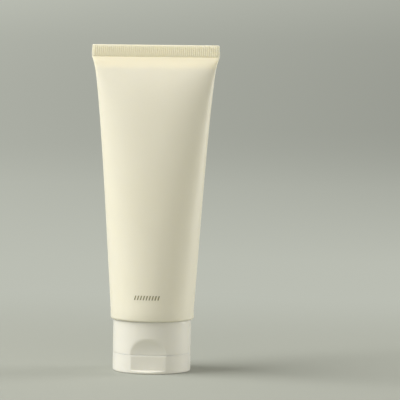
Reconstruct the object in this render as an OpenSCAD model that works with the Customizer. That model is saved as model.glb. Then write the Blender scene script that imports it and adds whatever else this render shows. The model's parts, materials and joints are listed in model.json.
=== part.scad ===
// Cosmetic squeeze tube standing on its closed flip-top cap, in millimetres.
// Origin: centre of the cap's flat end. +Z runs up to the crimped seal, the thumb
// recess faces -Y, the hinge is at +Y and the crimp runs along X.

/* [Sleeve] */
// Outside diameter of the sleeve where it is round
tube_d = 40.7; // [36:0.1:50]
// Length of the sleeve below its crimp
body_l = 127.6; // [100:0.1:160]
// Wall of the sleeve
sleeve_wall = 0.5; // [0.4:0.05:0.7]
// Radius that the sleeve's lower edge is turned in with
edge_r = 2.2; // [0.8:0.1:2.4]

/* [Filling] */
// Air left between the cream and the crimp
headspace = 34; // [12:1:40]

/* [Crimp] */
// Height of the crimped seal
crimp_h = 6.3; // [5:0.1:9]
// Distance from one rib of the crimp to the next
rib_pitch = 0.98; // [0.8:0.02:2]
// Width of a rib along its crest
rib_w = 0.38; // [0.2:0.02:0.6]
// Height of a rib above the crimp's face
rib_h = 0.2; // [0.1:0.02:0.3]
// Plain margin at each end of the row of ribs
rib_margin = 1.2; // [0.8:0.1:3]
// Plain strip above the ribs
strip_top = 0.6; // [0.4:0.1:1.6]
// Plain strip below the ribs
strip_low = 0.4; // [0.2:0.1:1]
// How far the crimp swells past the flattened sleeve at each end
crimp_swell = 0.15; // [0.1:0.05:0.6]

/* [Shoulder and neck] */
// Slope of the shoulder between the rim and the neck, in degrees
shoulder_slope = 20; // [12:1:26]
// Thickness of the shoulder
shoulder_t = 1.5; // [1.2:0.1:2]
// Height of the rim that is welded into the sleeve
weld_h = 4; // [3:0.5:6]
// Outside diameter of the neck
neck_d = 16; // [14:0.5:18]
// Wall of the neck
neck_wall = 1.5; // [1.2:0.1:2]
// Height of the snap bead on the neck
bead_h = 0.4; // [0.3:0.05:0.6]
// How far the ledge that carries the cap's rim reaches inside that rim
ledge_margin = 0.3; // [0.1:0.1:0.8]

/* [Cap base] */
// How far the cap's side stands inside the sleeve's
cap_inset = 1.3; // [1.1:0.05:2]
// Height of the base, from the parting line to the sleeve
base_h = 16; // [14:0.5:22]
// Wall of the base
base_wall = 1.2; // [1:0.1:1.5]
// Thickness of the deck
deck_t = 1.2; // [1:0.1:1.6]
// Height of the raised deck inside the lid
plateau_h = 0.95; // [0.7:0.05:1.4]
// Length of the ring that snaps over the neck
snap_l = 8; // [7:0.5:9]
// Wall of that ring and of the plug in the neck
ring_wall = 1.1; // [0.9:0.1:1.3]
// Length of the plug in the neck
plug_l = 3; // [2:0.5:4]

/* [Nozzle] */
// Height of the nozzle above the deck
nozzle_l = 4; // [3:0.25:4.5]
// Diameter of the nozzle at the deck
nozzle_root_d = 8.4; // [7.6:0.2:9]
// Diameter of the nozzle at its tip
nozzle_tip_d = 5.4; // [5:0.2:6]
// Bevel round the nozzle's tip
nozzle_bevel = 0.4; // [0.2:0.1:0.6]
// Width and height of the bevel round the nozzle's root
nozzle_skirt = 1.2; // [0.6:0.1:1.4]
// Diameter of the orifice
orifice_d = 3; // [2.8:0.1:3.4]
// Length of the straight orifice
orifice_l = 2; // [1.5:0.25:2.5]

/* [Lid] */
// Height of the lid
lid_h = 9; // [8.5:0.25:11]
// Wall of the lid
lid_wall = 1; // [0.8:0.1:1.2]
// Thickness of the lid's end plate
plate_t = 1.2; // [1:0.1:1.5]
// Radius around the end plate's rim
rim_r = 1; // [0.6:0.1:1.2]
// Height of the seal ring inside the lid
seal_ring_l = 3; // [2:0.25:3.5]
// Inside diameter of the seal ring
seal_ring_d = 10.4; // [10:0.2:12]
// How far the seal pin reaches into the orifice
pin_reach = 1.8; // [1:0.1:2]

/* [Thumb recess and hinge flat] */
// Depth of the two flats at the middle
flat_depth = 2.2; // [1.8:0.1:2.8]
// Height of the arch that the recess makes on the base
arch_h = 7.7; // [6.5:0.1:9]
// How far the arch starts outside the flat's edge
arch_spread = 0.3; // [0.2:0.1:0.6]
// Height of the finger lip below the thumb recess
lip_h = 1.8; // [1.6:0.1:2.5]
// Width of a hinge strap at its fold
strap_w = 4.4; // [3:0.2:4.8]
// Width that a strap gains towards each end
strap_flare = 1.2; // [0:0.2:1.4]
// Distance from the middle plane to the middle of a strap
strap_x = 5.4; // [4.6:0.1:5.6]
// Length of each half of a strap
strap_l = 3; // [2:0.25:4]
// Thickness of a strap
strap_t = 0.5; // [0.4:0.05:0.6]

/* [Gaps and clearances] */
// Gap at the parting line
part_gap = 0.15; // [0.1:0.05:0.3]
// Gap between the deck and the lid's wall
lid_fit = 0.3; // [0.25:0.05:0.5]
// Gap between the neck and what fits round it and in it
neck_fit = 0.1; // [0.05:0.05:0.2]
// Gap between the neck's mouth and the deck
mouth_gap = 0.2; // [0.1:0.05:0.4]
// Gap round the shoulder inside the sleeve
weld_gap = 0.05; // [0.03:0.01:0.1]
// Gap between the cream and the walls around it
fill_gap = 0.1; // [0.05:0.05:0.3]
// Gap between the seal pin and the orifice's mouth
pin_fit = 0.3; // [0.25:0.05:0.4]
// How much the seal pin's radius narrows towards its tip
pin_taper = 0.3; // [0.1:0.05:0.4]

/* [Hidden] */
$fn = 96;
eps = 0.01;

cream = [0.93, 0.91, 0.82];
white = [0.95, 0.95, 0.92];
natural = [0.90, 0.90, 0.86];
paste = [0.98, 0.97, 0.94];

// Heights, from the floor up
base_z = lid_h + part_gap;
hinge_z = lid_h + part_gap / 2;
plateau_z = base_z - plateau_h;
seat_z = base_z + base_h;
crimp_z = seat_z + body_l;

// Sleeve: round where it is welded to the shoulder, then pressed flat towards the crimp,
// its girth unchanged
tube_r = tube_d / 2;
crimp_t = 2 * sleeve_wall;
crimp_w = PI * tube_r - crimp_t;
taper_l = body_l - weld_h;
girth_sides = 48;
body_rings = 22;
edge_rings = 3;
squareness_max = 8;
// Share of the crimp's height at which it is widest
swell_at = 0.3;

// Share of the way that the sleeve has widened, at t = 0 (round) to 1 (crimp)
function widening(t) = 0.75 * t + 0.15 * pow(t, 5) + 0.1 * pow(t, 40);
// Share of the round half thickness, at u = 0 (crimp) to 1 (round)
function fullness(u) = pow(u, 0.47) * (1 - 0.8 * exp(-16 * u));
function half_w(u) = tube_r + (crimp_w / 2 - tube_r) * widening(1 - u);
function half_t(u) = crimp_t / 2 + (tube_r - crimp_t / 2) * fullness(u);
// Exponent of the section's superellipse: 2 is round, more is squarer
function squareness(u) = u <= 0 ? squareness_max : min(squareness_max, 1.9 + 0.1 / u);
function body_z(u) = crimp_z - u * taper_l;
// Steps are closer together towards the crimp
function body_step(i) = pow(i / body_rings, 1.8);

function ring(hx, hy, n, z) = [
    for (i = [0 : girth_sides - 1])
        let (c = cos(360 * i / girth_sides), s = sin(360 * i / girth_sides))
        let (k = pow(pow(abs(c), n) + pow(abs(s), n), -1 / n))
        [hx * c * k, hy * s * k, z]
];
function body_ring(u, inset) = ring(half_w(u) - inset, half_t(u) - inset, squareness(u), body_z(u));
function edge_ring(a, inset) = let (r = edge_r - inset, q = tube_r - edge_r + r * sin(a))
    ring(q, q, 2, seat_z + edge_r - r * cos(a));

// Skin over a list of rings, closed by a flat face at both ends
module skin(rings) {
    n = girth_sides;
    last = len(rings) - 1;
    points = [for (r = rings) each r];
    walls = [
        for (j = [0 : last - 1], i = [0 : n - 1])
            let (a = j * n + i, b = j * n + (i + 1) % n)
            each [[a, a + n, b], [b, a + n, b + n]]
    ];
    low = [for (i = [0 : n - 1]) i];
    high = [for (i = [0 : n - 1]) last * n + n - 1 - i];
    polyhedron(points, concat(walls, [low], [high]), convexity = 6);
}

// Cap: a round body with a flat at the front and one at the back
cap_r = tube_r - cap_inset;
flat_y = cap_r - flat_depth;
arch_half_w = sqrt(cap_r * cap_r - flat_y * flat_y) + arch_spread;
arch_steps = 24;
far = tube_d;

// Outline of a recess, from far below the parting line up to its arch, grown by g
function arch_outline(g) = concat(
    [[-arch_half_w - g, -far], [arch_half_w + g, -far]],
    [for (i = [0 : arch_steps])
        let (a = 180 * i / arch_steps)
        [(arch_half_w + g) * cos(a), (arch_h + g) * sin(a)]]
);

// Everything in front of the flat, within the arch
module recess(inset) {
    translate([0, inset - flat_y, base_z])
        rotate([90, 0, 0])
            linear_extrude(far)
                polygon(arch_outline(inset));
}

// The cap's outer form between two heights, with its walls moved inwards
module cap_form(inset, z0, z1) {
    difference() {
        translate([0, 0, z0]) cylinder(r = cap_r - inset, h = z1 - z0);
        recess(inset);
        rotate([0, 0, 180]) recess(inset);
    }
}

// A hinge strap's half, flat on the back flat, from the fold to the end that dir points to
module strap(side, dir) {
    fold = part_gap / 2;
    half = strap_w / 2;
    translate([side * strap_x, flat_y - eps, hinge_z])
        rotate([90, 0, 0])
            mirror([0, 0, 1])
                linear_extrude(strap_t + eps)
                    polygon([
                        [-half, dir * fold],
                        [half, dir * fold],
                        [half + strap_flare / 2, dir * strap_l],
                        [-half - strap_flare / 2, dir * strap_l]
                    ]);
}

// Shoulder and neck
ledge_r = cap_r - base_wall - ledge_margin;
neck_r = neck_d / 2;
bore_r = neck_r - neck_wall;
slope_drop = (ledge_r - neck_r) * tan(shoulder_slope);
neck_root_z = seat_z - slope_drop;
deck_in_z = plateau_z + deck_t;
mouth_z = deck_in_z + mouth_gap;
shoulder_r = tube_r - sleeve_wall - weld_gap;
turn_r = tube_r - edge_r;
inner_turn = edge_r - sleeve_wall;
bead_z = mouth_z + snap_l / 2;
inner_ledge_z = seat_z + shoulder_t;
inner_root_z = inner_ledge_z - (ledge_r - bore_r) * tan(shoulder_slope);

module bead(r, h) {
    rotate_extrude()
        polygon([[r - eps, bead_z - 2 * h], [r + h, bead_z - h / 2],
                 [r + h, bead_z + h / 2], [r - eps, bead_z + 2 * h]]);
}

module tube_shoulder() {
    color(natural) {
        rotate_extrude()
            polygon([
                [bore_r, mouth_z],
                [neck_r, mouth_z],
                [neck_r, neck_root_z],
                [ledge_r, seat_z],
                [turn_r - weld_gap, seat_z],
                [turn_r - weld_gap, seat_z + sleeve_wall + weld_gap],
                [shoulder_r, seat_z + edge_r],
                [shoulder_r, seat_z + weld_h],
                [shoulder_r - shoulder_t / 2, seat_z + weld_h],
                [ledge_r, inner_ledge_z],
                [bore_r, inner_root_z]
            ]);
        bead(neck_r, bead_h);
    }
}

// One rib right through the crimp, proud on both faces, with sides and ends that slope
// from a root inside the film up to the crest
module rib(length) {
    hull() {
        cube([0.8 * rib_pitch, crimp_t / 2, length], center = true);
        cube([rib_w, crimp_t + 2 * rib_h, length - 2 * rib_h], center = true);
    }
}

module crimp_ribs() {
    row = crimp_w - 2 * rib_margin;
    gaps = floor((row - rib_w) / rib_pitch);
    rib_l = crimp_h - strip_top - strip_low;
    for (i = [0 : gaps])
        translate([(i - gaps / 2) * rib_pitch, 0, crimp_z + strip_low + rib_l / 2])
            rib(rib_l);
}

// Rings of the sleeve: down the inside, round the turned edge and up the outside
inner_top_step = 4;
sleeve_rings = concat(
    [for (i = [inner_top_step : body_rings]) body_ring(body_step(i), sleeve_wall)],
    [for (i = [edge_rings : -1 : 0]) edge_ring(90 * i / edge_rings, sleeve_wall)],
    [for (i = [0 : edge_rings]) edge_ring(90 * i / edge_rings, 0)],
    [for (i = [body_rings : -1 : 0]) body_ring(body_step(i), 0)],
    [ring(crimp_w / 2 + crimp_swell, crimp_t / 2, squareness_max, crimp_z + crimp_h * swell_at),
     ring(crimp_w / 2 - crimp_swell, crimp_t / 2, squareness_max, crimp_z + crimp_h)]
);

module tube_sleeve() {
    color(cream) {
        skin(sleeve_rings);
        crimp_ribs();
    }
}

// The cream: what the sleeve, the shoulder and the neck leave free
fill_inset = sleeve_wall + fill_gap;
fill_low_u = 1 - fill_gap / taper_l;
fill_top_u = headspace / taper_l;
fill_steps = 12;
function fill_u(i) = fill_top_u + (fill_low_u - fill_top_u) * pow(i / fill_steps, 1.3);

module cream_fill() {
    weld_top = seat_z + weld_h + fill_gap;
    neck_fill_r = bore_r - neck_fit - ring_wall - fill_gap;
    color(paste) {
        skin([for (i = [fill_steps : -1 : 0]) body_ring(fill_u(i), fill_inset)]);
        rotate_extrude()
            polygon([
                [0, deck_in_z + fill_gap],
                [neck_fill_r, deck_in_z + fill_gap],
                [neck_fill_r, deck_in_z + plug_l + fill_gap],
                [bore_r - fill_gap, deck_in_z + plug_l + fill_gap],
                [bore_r - fill_gap, inner_root_z],
                [ledge_r - fill_gap, inner_ledge_z + fill_gap],
                [shoulder_r - shoulder_t, weld_top],
                [shoulder_r - shoulder_t, weld_top + eps],
                [0, weld_top + eps]
            ]);
    }
}

// Cap base
nozzle_z = plateau_z - nozzle_l;
nozzle_root_r = nozzle_root_d / 2;
nozzle_tip_r = nozzle_tip_d / 2;
orifice_r = orifice_d / 2;
plateau_in = lid_wall + lid_fit;

module nozzle() {
    rotate_extrude()
        polygon([
            [orifice_r, nozzle_z],
            [nozzle_tip_r - nozzle_bevel, nozzle_z],
            [nozzle_tip_r, nozzle_z + nozzle_bevel],
            [nozzle_root_r - nozzle_skirt, plateau_z - nozzle_skirt],
            [nozzle_root_r, plateau_z],
            [nozzle_root_r, deck_in_z],
            [nozzle_root_r - deck_t, deck_in_z],
            [orifice_r, nozzle_z + orifice_l]
        ]);
}

module ring_wall_between(r0, r1, z0, z1) {
    rotate_extrude()
        polygon([[r0, z0], [r1, z0], [r1, z1], [r0, z1]]);
}

module cap_base() {
    snap_r = neck_r + neck_fit;
    plug_r = bore_r - neck_fit;
    color(white) {
        difference() {
            union() {
                cap_form(0, base_z, seat_z);
                cap_form(plateau_in, plateau_z, base_z + eps);
            }
            cap_form(base_wall, base_z + deck_t, seat_z + eps);
            cap_form(plateau_in + deck_t, deck_in_z, base_z + deck_t + eps);
            translate([0, 0, plateau_z - eps])
                cylinder(r = nozzle_root_r - eps, h = base_h);
        }
        nozzle();
        ring_wall_between(plug_r - ring_wall, plug_r, deck_in_z - eps, deck_in_z + plug_l);
        difference() {
            ring_wall_between(snap_r, snap_r + ring_wall, deck_in_z - eps, deck_in_z + snap_l);
            bead(snap_r, bead_h);
        }
        for (side = [-1, 1]) strap(side, 1);
    }
}

// Lid
pin_root_r = orifice_r - pin_fit;
pin_tip_r = pin_root_r - pin_taper;
pin_top_z = nozzle_z + pin_reach;
seal_r = seal_ring_d / 2;
rim_steps = 6;

// Section of the lid's outside, with the rounded rim of the end plate
function rim_outline() = concat(
    [[0, 0]],
    [for (i = [0 : rim_steps])
        let (a = 90 * i / rim_steps)
        [cap_r - rim_r + rim_r * sin(a), rim_r - rim_r * cos(a)]],
    [[cap_r, lid_h], [0, lid_h]]
);

module lid_shell() {
    difference() {
        rotate_extrude() polygon(rim_outline());
        // thumb recess, above the finger lip
        intersection() {
            recess(0);
            translate([-far, -2 * far, lip_h]) cube([2 * far, 2 * far, lid_h]);
        }
        rotate([0, 0, 180]) recess(0);
        cap_form(lid_wall, plate_t, lid_h + eps);
    }
}

module cap_lid() {
    color(white) {
        lid_shell();
        ring_wall_between(seal_r, seal_r + ring_wall, plate_t - eps, plate_t + seal_ring_l);
        rotate_extrude()
            polygon([
                [0, plate_t - eps],
                [pin_root_r, plate_t - eps],
                [pin_root_r, nozzle_z],
                [pin_tip_r, pin_top_z],
                [0, pin_top_z]
            ]);
        for (side = [-1, 1]) strap(side, -1);
    }
}

tube_sleeve();
tube_shoulder();
cream_fill();
cap_base();
cap_lid();
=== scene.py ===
import json
import math

import bpy
import numpy as np
from mathutils import Matrix, Vector


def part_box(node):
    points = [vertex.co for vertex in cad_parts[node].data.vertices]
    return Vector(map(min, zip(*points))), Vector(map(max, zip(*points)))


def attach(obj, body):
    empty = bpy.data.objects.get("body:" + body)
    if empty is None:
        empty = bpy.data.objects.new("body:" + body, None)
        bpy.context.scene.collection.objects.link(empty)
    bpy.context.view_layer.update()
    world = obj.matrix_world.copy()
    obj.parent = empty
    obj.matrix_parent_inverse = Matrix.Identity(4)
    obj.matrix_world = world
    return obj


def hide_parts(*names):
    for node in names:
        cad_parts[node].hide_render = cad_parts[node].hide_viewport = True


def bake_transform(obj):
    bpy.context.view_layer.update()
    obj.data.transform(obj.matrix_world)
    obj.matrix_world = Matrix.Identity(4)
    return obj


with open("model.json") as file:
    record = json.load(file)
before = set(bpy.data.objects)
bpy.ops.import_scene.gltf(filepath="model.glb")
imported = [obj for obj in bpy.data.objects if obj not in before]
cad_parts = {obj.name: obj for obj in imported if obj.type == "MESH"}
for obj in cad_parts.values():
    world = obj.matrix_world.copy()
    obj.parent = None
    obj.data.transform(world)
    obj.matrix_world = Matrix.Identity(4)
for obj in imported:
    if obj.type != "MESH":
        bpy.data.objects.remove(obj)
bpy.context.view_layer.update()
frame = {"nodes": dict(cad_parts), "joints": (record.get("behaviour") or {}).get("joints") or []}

# A cosmetic squeeze tube that stands on its closed flip-top cap. Sizes are in millimetres
# and become metres where a mesh is made.
MM = 0.001


def node_box(node):
    """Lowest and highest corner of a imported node, in millimetres."""
    low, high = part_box(node)
    return low / MM, high / MM


sleeve_low, sleeve_high = node_box("tube_sleeve")
_, lid_high = node_box("cap_lid")
hinge = frame["joints"][0]
hinge_y = hinge["pos_m"][1] / MM
hinge_z = hinge["pos_m"][2] / MM

# Sleeve
tube_r = sleeve_high.y
seat_z = sleeve_low.z
crimp_top = sleeve_high.z
sleeve_wall = 0.5
edge_r = 1.2
weld_h = 4.0
crimp_h = 6.0
crimp_z = crimp_top - crimp_h
taper_l = crimp_z - seat_z - weld_h
crimp_t = 2 * sleeve_wall
weld_draw = 0.4
crimp_w = math.pi * tube_r - crimp_t - weld_draw
squareness_max = 8.0
crimp_top_steps = ((0.42, 0), (0.28, 0.06), (0.12, 0.2), (0, 0.38))
crimp_swell = 0.15
rib_pitch = 0.98
rib_crest_w = 0.38
rib_root_w = 0.8 * rib_pitch
rib_h = 0.17
rib_margin = 1.0
strip_top = 0.6
strip_low = 0.4

# Cap
cap_r = lid_high.x
lid_h = lid_high.z
part_gap = 2 * (hinge_z - lid_h)
base_z = lid_h + part_gap
seam = 0.04
flat_depth = 2.2
flat_y = cap_r - flat_depth
arch_h = 7.7
edge_soft = 0.1
top_soft = 0.5
lip_h = 1.45
lip_blend = 0.8
base_wall = 1.2
deck_t = 1.2
plateau_h = 0.95
lid_wall = 1.0
plate_t = 1.2
lid_fit = 0.3
lid_rim = 0.7
cap_steps = 288
orifice_r = 1.5
nozzle_r = 2.7
nozzle_l = 4.0
snap_ring_r = (8.1, 9.2)
snap_ring_l = 8
plug_r = (5.3, 6.4)
plug_l = 3
seal_ring_r = (5.2, 6.3)
seal_ring_z = 4.2
pin_r = (0.9, 1.2)
pin_z = (4.2, 6.0)

# Hinge straps
strap_x = 5.4
strap_w = 4.4
strap_flare = 1.2
strap_l = 3.0
strap_t = hinge_y - flat_y
web_t = 0.22


def smooth(t):
    """Soft step from 0 to 1."""
    t = min(max(t, 0.0), 1.0)
    return t * t * (3 - 2 * t)


# Modelling helpers
def deselect():
    if bpy.context.object and bpy.context.object.mode != "OBJECT":
        bpy.ops.object.mode_set(mode="OBJECT")
    bpy.ops.object.select_all(action="DESELECT")


def begin(name):
    """Names the primitive that was just added and opens it in edit mode."""
    piece = bpy.context.object
    piece.name = name
    piece.data.name = name
    bpy.ops.object.mode_set(mode="EDIT")
    bpy.ops.mesh.select_all(action="SELECT")
    return piece


def finish_piece(piece, angle=35):
    """Leaves edit mode and shades the piece smooth, apart from edges sharper than angle."""
    bpy.ops.object.mode_set(mode="OBJECT")
    deselect()
    bpy.context.view_layer.objects.active = piece
    piece.select_set(True)
    bpy.ops.object.transform_apply(location=True, rotation=True, scale=True)
    bpy.ops.object.shade_smooth_by_angle(angle=math.radians(angle))
    deselect()
    return piece


def extrude_by(step):
    bpy.ops.mesh.extrude_region_move(TRANSFORM_OT_translate={"value": step})


def turned(name, outline, steps):
    """A moulding that is round about Z: its outline is drawn point by point and spun."""
    deselect()
    bpy.ops.mesh.primitive_plane_add(size=MM)
    piece = begin(name)
    bpy.ops.mesh.merge(type="CENTER")
    points = [Vector((r, 0, z)) * MM for r, z in outline]
    bpy.ops.transform.translate(value=points[0])
    for a, b in zip(points, points[1:]):
        extrude_by(b - a)
    bpy.ops.mesh.select_all(action="SELECT")
    bpy.ops.mesh.spin(steps=steps, angle=2 * math.pi, center=(0, 0, 0), axis=(0, 0, 1))
    bpy.ops.mesh.select_all(action="SELECT")
    bpy.ops.mesh.remove_doubles(threshold=0.001 * MM)
    bpy.ops.mesh.normals_make_consistent(inside=False)
    bpy.ops.object.mode_set(mode="OBJECT")
    return piece


def rounded(corners, steps=4):
    """An outline whose corners, each (r, z, radius), are rounded with short arcs."""
    points = []
    for i, (r, z, radius) in enumerate(corners):
        here = Vector((r, z))
        if radius == 0:
            points.append(here)
            continue
        before = Vector(corners[i - 1][:2]) - here
        after = Vector(corners[(i + 1) % len(corners)][:2]) - here
        start = here + before.normalized() * radius
        end = here + after.normalized() * radius
        for k in range(steps + 1):
            t = k / steps
            points.append(start * (1 - t) ** 2 + here * 2 * t * (1 - t) + end * t ** 2)
    return [(p.x, p.y) for p in points]


def climb(r, z0, z1, pitch):
    """Corners up a straight wall, close enough together for a recess to be pressed in."""
    count = max(1, round(abs(z1 - z0) / pitch))
    return [(r, z0 + (z1 - z0) * k / count, 0) for k in range(1, count)]


# Sleeve: round where it is welded to the shoulder, then pressed flat up to the crimp
def widening(t):
    return 0.75 * t + 0.15 * t ** 5 + 0.1 * t ** 40


def fullness(u):
    return u ** 0.47 * (1 - 0.8 * math.exp(-16 * u))


def half_width(u):
    return tube_r + (crimp_w / 2 - tube_r) * widening(1 - u)


def half_thickness(u):
    return crimp_t / 2 + (tube_r - crimp_t / 2) * fullness(u)


def squareness(u):
    return squareness_max if u <= 0 else min(squareness_max, 1.9 + 0.1 / u)


def body_ring(u, inset=0.0):
    return (half_width(u) - inset, half_thickness(u) - inset, squareness(u), crimp_z - u * taper_l)


def edge_ring(angle, inset=0.0):
    r = edge_r - inset
    q = tube_r - edge_r + r * math.sin(angle)
    return (q, q, 2.0, seat_z + edge_r - r * math.cos(angle))


def crimp_ring(h, thin=0.0):
    """Ring of the crimp at height h above its foot: it swells a little, then narrows."""
    crest = 0.3 * crimp_h
    if h < crest:
        wide = crimp_swell * h / crest
    else:
        wide = crimp_swell * (1 - 2 * (h - crest) / (crimp_h - crest))
    return (crimp_w / 2 + wide - thin, crimp_t / 2 - thin, squareness_max, crimp_z + h)


def superellipse(half_w, half_t, n, angles):
    c, s = np.cos(angles), np.sin(angles)
    k = (np.abs(c) ** n + np.abs(s) ** n) ** (-1 / n)
    return np.stack([half_w * c * k, half_t * s * k], axis=1)


def at_shares(half_w, half_t, n, shares):
    """Points round a section, placed by their share of its girth, since film can't stretch."""
    angles = np.linspace(0, 2 * math.pi, 8193)
    points = superellipse(half_w, half_t, n, angles)
    girth = np.concatenate([[0], np.cumsum(np.linalg.norm(np.diff(points, axis=0), axis=1))])
    where = np.interp(shares * girth[-1], girth, angles)
    return superellipse(half_w, half_t, n, where)


def rib_stations():
    """Where the columns of the film stand across half the crimp, and how proud each is."""
    gaps = math.floor((crimp_w - 2 * rib_margin - rib_crest_w) / rib_pitch)
    stations = []
    for k in range(gaps // 2 + 1):
        middle = (k + gaps % 2 / 2) * rib_pitch
        for offset, proud in ((-rib_root_w, 0), (-rib_crest_w, 1), (rib_crest_w, 1), (rib_root_w, 0)):
            x = middle + offset / 2
            if x > 0:
                stations.append((x, proud))
    last = stations[-1][0]
    end = crimp_w / 2
    stations += [(last + (end - last) * share, 0) for share in (0.22, 0.44, 0.66, 0.85)]
    return stations


def sleeve_columns():
    """Each column's share of the girth, and how proud it stands where a rib crosses it."""
    end_angles = [math.radians(a) for a in (0, 10, 20, 28, 33, 36)]
    angles = np.linspace(0, math.pi / 2, 4097)
    half_w, half_t, n, _ = crimp_ring(0)
    points = superellipse(half_w, half_t, n, angles)
    girth = np.concatenate([[0], np.cumsum(np.linalg.norm(np.diff(points, axis=0), axis=1))])
    quarter = [(float(np.interp(a, angles, girth)) / girth[-1], 0) for a in end_angles]
    for x, proud in reversed(rib_stations()):
        share = float(np.interp(-x, -points[:, 0], girth)) / girth[-1]
        if share > quarter[-1][0] + 1e-4:
            quarter.append((share, proud))
    back_right = [(share / 4, proud) for share, proud in quarter]
    back_left = [(0.5 - share, proud) for share, proud in reversed(back_right)]
    back = back_right + back_left
    front = [(0.5 + share, proud) for share, proud in back[1:-1]]
    both = sorted(back[:-1] + [(0.5, 0)] + front)
    return np.array([share for share, _ in both]), np.array([proud for _, proud in both])


def sleeve_rings():
    """Rings from the closed inside, down the wall, round the turned edge and up to the crimp."""
    rings = []
    inner_top, inner_steps, body_steps, edge_steps = 0.046, 26, 66, 5
    for k in range(inner_steps + 1):
        down = inner_top + (1 - inner_top) * (k / inner_steps) ** 1.4
        rings.append((body_ring(down, sleeve_wall), 0))
    for k in range(edge_steps, -1, -1):
        rings.append((edge_ring(math.pi / 2 * k / edge_steps, sleeve_wall), 0))
    for k in range(edge_steps + 1):
        rings.append((edge_ring(math.pi / 2 * k / edge_steps), 0))
    for k in range(body_steps, -1, -1):
        rings.append((body_ring((k / body_steps) ** 1.7), 0))
    rib_low, rib_top = strip_low, crimp_h - strip_top
    for h, proud in ((rib_low, 0), (rib_low + rib_h, 1), (0.3 * crimp_h, 1), (0.5 * crimp_h, 1),
                     (0.65 * crimp_h, 1), (rib_top - rib_h, 1), (rib_top, 0), (rib_top + 0.15, 0)):
        rings.append((crimp_ring(h), proud))
    for up, thin in crimp_top_steps:
        rings.append((crimp_ring(crimp_h - up, thin), 0))
    return rings


def sleeve_film():
    """The film: a flat disc is extruded ring by ring, and each ring is laid on its section."""
    shares, proud = sleeve_columns()
    rings = sleeve_rings()
    columns = len(shares)
    deselect()
    bpy.ops.mesh.primitive_circle_add(vertices=columns, radius=1, fill_type="NGON")
    piece = begin("sleeve_film")
    for _ in rings[1:]:
        extrude_by((0, 0, 1))
    bpy.ops.mesh.select_all(action="SELECT")
    bpy.ops.object.mode_set(mode="OBJECT")
    places = []
    for (half_w, half_t, n, z), rib in rings:
        points = at_shares(half_w, half_t, n, shares)
        points[:, 1] += np.sign(points[:, 1]) * proud * rib * rib_h
        places.append([(x * MM, y * MM, z * MM) for x, y in points])
    start = math.atan2(piece.data.vertices[0].co.y, piece.data.vertices[0].co.x)
    for vertex in piece.data.vertices:
        turn = (math.atan2(vertex.co.y, vertex.co.x) - start) / (2 * math.pi)
        vertex.co = places[round(vertex.co.z)][round(turn * columns) % columns]
    bpy.ops.object.mode_set(mode="EDIT")
    bpy.ops.mesh.select_all(action="SELECT")
    bpy.ops.mesh.normals_make_consistent(inside=False)
    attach(piece, "tube")
    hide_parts("tube_sleeve")
    return finish_piece(piece, 34)


# Cap: two round mouldings with a thumb recess at the front and a hinge flat at the back
FLAT_REACH = 12.0


def press_flats(piece, front_share):
    """Presses both flats into a turned moulding; front_share says how much of the front one's
    depth there is at each height and distance from the outside."""
    for vertex in piece.data.vertices:
        x, y, z = vertex.co / MM
        r = math.hypot(x, y)
        if r < FLAT_REACH:
            continue
        inset = cap_r - r
        # Above the parting line the recess is a scoop that runs out at the top of its arch
        up = max(z - base_z, 0) / (arch_h + inset)
        depth = flat_depth * max(1 - up ** 2, 0)
        if y < 0:
            depth *= front_share(z, inset)
        if depth <= 0:
            continue
        excess = abs(y) - (r - depth)
        soft = edge_soft + top_soft * up
        if abs(excess) < soft:
            excess = (excess + soft) ** 2 / (4 * soft)
        if excess > 0:
            vertex.co.y = math.copysign(abs(y) - excess, y) * MM


def everywhere(z, inset):
    return 1.0


def above_lip(z, inset):
    """The lid's thumb recess stops above its finger lip; its inside is flat all the way."""
    if inset > lid_wall / 2 and z > plate_t / 2:
        return 1.0
    catch = 0.1 * (1 - smooth((z - lid_h) / 0.7 + 1))
    return (1 - catch) * smooth((z - lip_h) / lip_blend + 0.5)


def cap_base_shell():
    """Base of the cap: skirt, deck with its raised middle, nozzle, snap ring and neck plug."""
    plateau_z = base_z - plateau_h
    plateau_r = cap_r - lid_wall - lid_fit
    deck_in = plateau_z + deck_t
    nozzle_z = plateau_z - nozzle_l
    rim_z = lid_h + seam
    outline = rounded(
        [(orifice_r, nozzle_z, 0.15), (nozzle_r, nozzle_z, 0.35), (3.0, plateau_z - 1.2, 0.6),
         (4.2, plateau_z, 0.5), (plateau_r, plateau_z, 0.3), (plateau_r, rim_z, 0.1),
         (cap_r, rim_z, 0.08)]
        + climb(cap_r, rim_z + 0.08, base_z + arch_h + 1.6, 0.34)
        + climb(cap_r, base_z + arch_h + 1.6, seat_z - 0.3, 1.2)
        + [(cap_r, seat_z, 0.12), (cap_r - base_wall, seat_z, 0.15),
           (cap_r - base_wall, base_z + arch_h + 2, 0), (cap_r - base_wall, base_z + arch_h + 0.5, 0),
           (cap_r - base_wall, base_z + arch_h - 1, 0), (cap_r - base_wall, base_z + deck_t, 0.2),
           (plateau_r - deck_t, base_z + deck_t, 0.1), (plateau_r - deck_t, deck_in, 0.1),
           (snap_ring_r[1], deck_in, 0.1), (snap_ring_r[1], deck_in + snap_ring_l, 0.3),
           (snap_ring_r[0], deck_in + snap_ring_l, 0.3), (snap_ring_r[0], deck_in, 0.1),
           (plug_r[1], deck_in, 0.1), (plug_r[1], deck_in + plug_l, 0.3),
           (plug_r[0], deck_in + plug_l, 0.3), (plug_r[0], deck_in, 0.1),
           (3.0, deck_in, 0), (orifice_r, nozzle_z + 2, 0)])
    piece = turned("cap_base_shell", outline + outline[:1], cap_steps)
    press_flats(piece, everywhere)
    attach(piece, "tube")
    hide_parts("cap_base")
    return finish_piece(piece)


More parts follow.
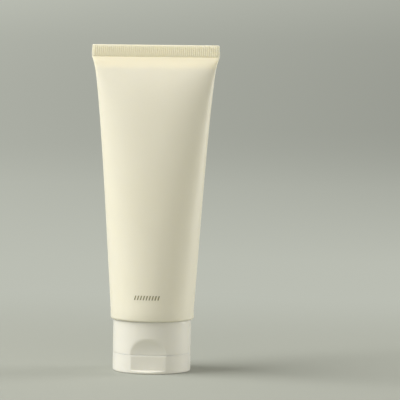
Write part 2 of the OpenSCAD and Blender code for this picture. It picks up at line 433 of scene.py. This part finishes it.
def lid_shell():
    """Lid: end plate with a soft rim, skirt, seal ring and seal pin."""
    outline = rounded(
        [(0, 0, 0), (10, 0, 0), (cap_r, 0, lid_rim), (cap_r, lip_h - 0.4, 0)]
        + climb(cap_r, lip_h - 0.4, lip_h + 0.6, 0.1)
        + climb(cap_r, lip_h + 0.6, lid_h - 1.0, 0.6)
        + climb(cap_r, lid_h - 1.0, lid_h - 0.15, 0.12)
        + [(cap_r, lid_h, 0.12), (cap_r - lid_wall, lid_h, 0.15)]
        + climb(cap_r - lid_wall, lid_h - 0.2, plate_t + 0.4, 1.2)
        + [(cap_r - lid_wall, plate_t, 0.4), (seal_ring_r[1], plate_t, 0.2),
           (seal_ring_r[1], seal_ring_z, 0.25), (seal_ring_r[0], seal_ring_z, 0.25),
           (seal_ring_r[0], plate_t, 0.2), (pin_r[1], plate_t, 0.2), (pin_r[1], pin_z[0], 0),
           (pin_r[0], pin_z[1], 0.25), (0, pin_z[1], 0)])
    piece = turned("lid_shell", outline, cap_steps)
    press_flats(piece, above_lip)
    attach(piece, "lid")
    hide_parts("cap_lid")
    return finish_piece(piece)


def hinge_straps():
    """Two straps moulded across the parting line, each thinned to a web at its fold."""
    deselect()
    bpy.ops.mesh.primitive_cube_add(
        size=1, location=Vector((strap_x, flat_y + strap_t / 2, hinge_z)) * MM,
        scale=Vector((strap_w, strap_t, 2 * strap_l)) * MM)
    piece = bpy.context.object
    bpy.ops.object.transform_apply(location=True, rotation=True, scale=True)
    piece = begin("hinge_straps")
    for cut in (-0.8, -0.6, -0.4, -0.2, 0, 0.2, 0.4, 0.6, 0.8):
        bpy.ops.mesh.select_all(action="SELECT")
        bpy.ops.mesh.bisect(plane_co=(0, 0, (hinge_z + cut) * MM), plane_no=(0, 0, 1))
    bpy.ops.object.mode_set(mode="OBJECT")
    for vertex in piece.data.vertices:
        off = abs(vertex.co.z / MM - hinge_z)
        side = math.copysign(1, vertex.co.x / MM - strap_x)
        vertex.co.x = (strap_x + side * (strap_w + strap_flare * off / strap_l) / 2) * MM
        if vertex.co.y / MM < flat_y + strap_t / 2:
            groove = (strap_t - web_t) * (1 - smooth(off / 0.7))
            vertex.co.y += groove * MM
    bevel = piece.modifiers.new("soft_edges", "BEVEL")
    bevel.width = 0.1 * MM
    bevel.segments = 2
    bevel.limit_method = "ANGLE"
    bpy.ops.object.modifier_apply(modifier=bevel.name)
    bpy.ops.object.mode_set(mode="EDIT")
    bpy.ops.mesh.select_all(action="SELECT")
    bpy.ops.mesh.duplicate_move(TRANSFORM_OT_translate={"value": (-2 * strap_x * MM, 0, 0)})
    finish_piece(piece)
    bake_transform(piece)
    return piece


# Print: a plain row of slanted bars, low on the front
def sleeve_front(x, z):
    """The sleeve's front face at (x, z), as its y."""
    u = (crimp_z - z) / taper_l
    across = (abs(x) / half_width(u)) ** squareness(u)
    return -half_thickness(u) * (1 - across) ** (1 / squareness(u))


def print_marks():
    marks = []
    count, pitch, bar_w, bar_h, slant = 9, 1.42, 0.58, 2.1, 0.28
    middle_x, middle_z, ink = -0.8, 36.9, 0.03
    for k in range(count):
        deselect()
        x0 = middle_x + (k - (count - 1) / 2) * pitch
        bpy.ops.mesh.primitive_grid_add(
            x_subdivisions=3, y_subdivisions=6, size=1, location=(0, 0, 0))
        piece = begin(f"print_bar_{k}")
        bpy.ops.mesh.extrude_region_move(TRANSFORM_OT_translate={"value": (0, 0, 1)})
        bpy.ops.object.mode_set(mode="OBJECT")
        for vertex in piece.data.vertices:
            across, up, layer = vertex.co
            x = x0 + across * bar_w + up * bar_h * slant
            z = middle_z + up * bar_h
            y = sleeve_front(x, z) + (ink if layer < 0.5 else -ink)
            vertex.co = Vector((x, y, z)) * MM
        marks.append(piece)
    deselect()
    for mark in marks:
        mark.select_set(True)
    bpy.context.view_layer.objects.active = marks[0]
    bpy.ops.object.join()
    piece = begin("print_marks")
    bpy.ops.mesh.normals_make_consistent(inside=False)
    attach(piece, "tube")
    return finish_piece(piece)


# Materials
def linear(hex_colour):
    """sRGB hex to the linear colour that the shader takes."""
    channels = [int(hex_colour[i:i + 2], 16) / 255 for i in (1, 3, 5)]
    return [c / 12.92 if c <= 0.04045 else ((c + 0.055) / 1.055) ** 2.4 for c in channels] + [1.0]


def add(tree, kind, settings=None, inputs=None):
    """Adds a node; an input is a value, or the output socket that feeds it."""
    node = tree.nodes.new(kind)
    for key, value in (settings or {}).items():
        setattr(node, key, value)
    for key, value in (inputs or {}).items():
        if isinstance(value, bpy.types.NodeSocket):
            tree.links.new(value, node.inputs[key])
        else:
            node.inputs[key].default_value = value
    return node


def new_material(name):
    """A material with a Principled surface; gives the material, its tree and that shader."""
    material = bpy.data.materials.new(name)
    material.use_nodes = True
    tree = material.node_tree
    tree.nodes.clear()
    shader = add(tree, "ShaderNodeBsdfPrincipled")
    add(tree, "ShaderNodeOutputMaterial", inputs={"Surface": shader.outputs["BSDF"]})
    return material, tree, shader


def plastic(name, deep, pale, roughness, ior, mottle_mm, grain_mm, grain_height_mm, glow, lines_mm=0):
    """A moulded or extruded plastic: two close colours that drift slowly, a fine skin grain,
    and faint drawing lines along Z where lines_mm gives their spacing."""
    material, tree, shader = new_material(name)
    place = add(tree, "ShaderNodeTexCoord")
    drift = add(tree, "ShaderNodeTexNoise", inputs={
        "Vector": place.outputs["Object"], "Scale": 1 / (mottle_mm * MM), "Detail": 2.0})
    colour = add(tree, "ShaderNodeMix", {"data_type": "RGBA"}, {
        "Factor": drift.outputs["Fac"], "A": linear(deep), "B": linear(pale)})
    grain = add(tree, "ShaderNodeTexNoise", inputs={
        "Vector": place.outputs["Object"], "Scale": 1 / (grain_mm * MM), "Detail": 3.0})
    worn = add(tree, "ShaderNodeMapRange", inputs={
        "Value": drift.outputs["Fac"], "To Min": roughness - 0.04, "To Max": roughness + 0.04})
    bump = add(tree, "ShaderNodeBump", inputs={
        "Height": grain.outputs["Fac"], "Distance": grain_height_mm * MM, "Strength": 1.0})
    if lines_mm:
        stretched = add(tree, "ShaderNodeMapping", inputs={
            "Vector": place.outputs["Object"], "Scale": (1.0, 1.0, 0.004)})
        lines = add(tree, "ShaderNodeTexNoise", inputs={
            "Vector": stretched.outputs["Vector"], "Scale": 1 / (lines_mm * MM), "Detail": 1.0})
        bump = add(tree, "ShaderNodeBump", inputs={
            "Height": lines.outputs["Fac"], "Distance": grain_height_mm * MM, "Strength": 1.0,
            "Normal": bump.outputs["Normal"]})
    tree.links.new(colour.outputs["Result"], shader.inputs["Base Color"])
    tree.links.new(worn.outputs["Result"], shader.inputs["Roughness"])
    tree.links.new(bump.outputs["Normal"], shader.inputs["Normal"])
    shader.inputs["IOR"].default_value = ior
    shader.inputs["Subsurface Weight"].default_value = glow
    shader.inputs["Subsurface Radius"].default_value = (1.0, 0.95, 0.8)
    shader.inputs["Subsurface Scale"].default_value = 1.5 * MM
    return material


def dress(piece, material):
    piece.data.materials.clear()
    piece.data.materials.append(material)


# Stage, light and camera
def studio_sweep():
    """Wide paper sweep: a floor that curves up into a back wall. Camera rays see its far part glow with
    painted light: a gradient of light and shade.
    """
    deselect()
    width, front_y, curve_y, radius, wall_top, steps = 12.0, -3.0, 1.2, 0.8, 4.0, 24
    bpy.ops.mesh.primitive_plane_add(size=1)
    sweep = begin("studio_sweep")
    bpy.ops.mesh.merge(type="CENTER")
    bpy.ops.transform.translate(value=(-width / 2, front_y, 0))
    curve = [(curve_y + radius * math.sin(a), radius * (1 - math.cos(a)))
             for a in (math.pi / 2 * k / steps for k in range(steps + 1))]
    points = [(front_y, 0)] + curve + [(curve_y + radius, wall_top)]
    for here, there in zip(points, points[1:]):
        extrude_by((0, there[0] - here[0], there[1] - here[1]))
    bpy.ops.mesh.select_all(action="SELECT")
    extrude_by((width, 0, 0))
    finish_piece(sweep)
    material, tree, shader = new_material("grey_green_paper")
    shader.inputs["Roughness"].default_value = 0.85
    place = add(tree, "ShaderNodeTexCoord")
    axes = add(tree, "ShaderNodeSeparateXYZ", inputs={"Vector": place.outputs["Object"]})
    # How high above the camera a point stands for each metre of its distance
    deep = add(tree, "ShaderNodeMath", {"operation": "ADD"}, {0: axes.outputs["Y"], 1: 0.9})
    above = add(tree, "ShaderNodeMath", {"operation": "SUBTRACT"}, {0: axes.outputs["Z"], 1: 0.118})
    rise = add(tree, "ShaderNodeMath", {"operation": "DIVIDE"}, {0: above.outputs[0], 1: deep.outputs[0]})
    aside = add(tree, "ShaderNodeMath", {"operation": "DIVIDE"}, {0: axes.outputs["X"], 1: deep.outputs[0]})
    # Painted light on the backdrop: the ramp makes it lighter low down and at the very top, with a painted
    # darker band above the middle.
    height = add(tree, "ShaderNodeMapRange", inputs={
        "Value": rise.outputs[0], "From Min": -0.14, "From Max": 0.08, "To Min": 0.0, "To Max": 1.0})
    shade = add(tree, "ShaderNodeValToRGB", inputs={"Fac": height.outputs["Result"]})
    ramp = shade.color_ramp
    ramp.interpolation = "B_SPLINE"
    ramp.elements[0].color = (0.96, 0.96, 0.96, 1)
    ramp.elements[-1].color = (1, 1, 1, 1)
    for position, level in ((0.3, 0.96), (0.5, 0.865), (0.6, 0.765), (0.85, 0.765)):
        stop = ramp.elements.new(position)
        stop.color = (level, level, level, 1)
    # Painted shade across: towards the right the far backdrop turns darker, the more so the higher it
    # stands.
    far_side = add(tree, "ShaderNodeMapRange", inputs={
        "Value": rise.outputs[0], "From Min": -0.07, "From Max": 0.0, "To Min": 0.99, "To Max": 0.8})
    across = add(tree, "ShaderNodeMapRange", inputs={
        "Value": aside.outputs[0], "From Min": -0.15, "From Max": 0.07, "To Min": 1.0,
        "To Max": far_side.outputs["Result"]})
    level = add(tree, "ShaderNodeMath", {"operation": "MULTIPLY"}, {
        0: shade.outputs["Color"], 1: across.outputs["Result"]})
    # The far backdrop glows for camera rays with this painted light and shade; near the tube the paper is
    # plain lit paint and keeps the real shadow.
    glow = add(tree, "ShaderNodeEmission", inputs={
        "Color": linear("#C0C3B8"), "Strength": level.outputs[0]})
    rays = add(tree, "ShaderNodeLightPath")
    distance = add(tree, "ShaderNodeMapRange", {"interpolation_type": "SMOOTHSTEP"}, {
        "Value": axes.outputs["Y"], "From Min": 0.06, "From Max": 0.42, "To Min": 0.0, "To Max": 1.0})
    far = add(tree, "ShaderNodeMath", {"operation": "MULTIPLY"}, {
        0: distance.outputs["Result"], 1: rays.outputs["Is Camera Ray"]})
    blend = add(tree, "ShaderNodeMixShader", inputs={
        0: far.outputs[0], 1: shader.outputs["BSDF"], 2: glow.outputs["Emission"]})
    surface = next(node for node in tree.nodes if node.type == "OUTPUT_MATERIAL")
    tree.links.new(blend.outputs["Shader"], surface.inputs["Surface"])
    shader.inputs["Base Color"].default_value = linear("#9FA29A")
    dress(sweep, material)
    return sweep


def softbox(name, place, aim, width, height, power, colour):
    data = bpy.data.lights.new(name, "AREA")
    data.shape = "RECTANGLE"
    data.size = width
    data.size_y = height
    data.energy = power
    data.color = colour
    lamp = bpy.data.objects.new(name, data)
    bpy.context.scene.collection.objects.link(lamp)
    lamp.location = place
    lamp.rotation_euler = (Vector(aim) - Vector(place)).to_track_quat("-Z", "Y").to_euler()
    return lamp


def studio_light():
    world = bpy.data.worlds.new("studio_air")
    bpy.context.scene.world = world
    world.use_nodes = True
    tree = world.node_tree
    tree.nodes.clear()
    air = add(tree, "ShaderNodeBackground", inputs={"Color": linear("#F6F2E8"), "Strength": 0.52})
    add(tree, "ShaderNodeOutputWorld", inputs={"Surface": air.outputs["Background"]})
    aim = (0, 0, 0.085)
    softbox("key_softbox", (-1.25, -0.3, 1.3), aim, 1.5, 1.5, 39.5, (1.0, 0.995, 0.975))
    softbox("front_softbox", (0.2, -1.6, 0.6), aim, 1.2, 0.9, 2.1, (1.0, 0.99, 0.96))
    softbox("side_softbox", (1.35, 0.55, 0.5), aim, 0.7, 1.1, 12.5, (1.0, 0.99, 0.96))


def photo_camera():
    """The camera stands a little to the right of the front, at about the tube's own height."""
    distance, height, turn, roll = 900, 118, math.radians(5.6), math.radians(0.85)
    aim_z, aim_right = 83.63, 22.62
    data = bpy.data.cameras.new("photo_camera")
    data.lens = 165.6
    data.sensor_width = 36
    data.clip_end = 100
    camera = bpy.data.objects.new("photo_camera", data)
    bpy.context.scene.collection.objects.link(camera)
    eye = Vector((math.sin(turn) * distance, -math.cos(turn) * distance, height))
    target = Vector((math.cos(turn) * aim_right, math.sin(turn) * aim_right, aim_z))
    look = (target - eye).to_track_quat("-Z", "Y").to_matrix().to_4x4()
    camera.matrix_world = Matrix.Translation(eye * MM) @ look @ Matrix.Rotation(roll, 4, "Z")
    bpy.context.scene.camera = camera


photo_camera()
studio_sweep()
studio_light()

film = plastic("satin_pe_film", "#F4ECD2", "#F7F0DA", 0.42, 1.51, 60, 0.35, 0.004, 0.5, lines_mm=1.2)
cap_pp = plastic("moulded_white_pp", "#E6E3D9", "#EEECE2", 0.24, 1.49, 40, 0.5, 0.002, 0.5)
natural_pe = plastic("natural_hdpe", "#E2E2D6", "#E8E8DD", 0.4, 1.54, 30, 0.5, 0.004, 0.3)
lotion = plastic("white_lotion", "#F6F4EC", "#FAF8F2", 0.3, 1.4, 20, 3.0, 0.05, 0.4)
ink, _, ink_shader = new_material("olive_grey_ink")
ink_shader.inputs["Base Color"].default_value = linear("#948E6A")
ink_shader.inputs["Roughness"].default_value = 0.45

dress(sleeve_film(), film)
dress(cap_base_shell(), cap_pp)
dress(lid_shell(), cap_pp)
dress(hinge_straps(), cap_pp)
dress(print_marks(), ink)
dress(frame["nodes"]["tube_shoulder"], natural_pe)
dress(frame["nodes"]["cream_fill"], lotion)

bpy.context.scene.view_settings.view_transform = "Standard"
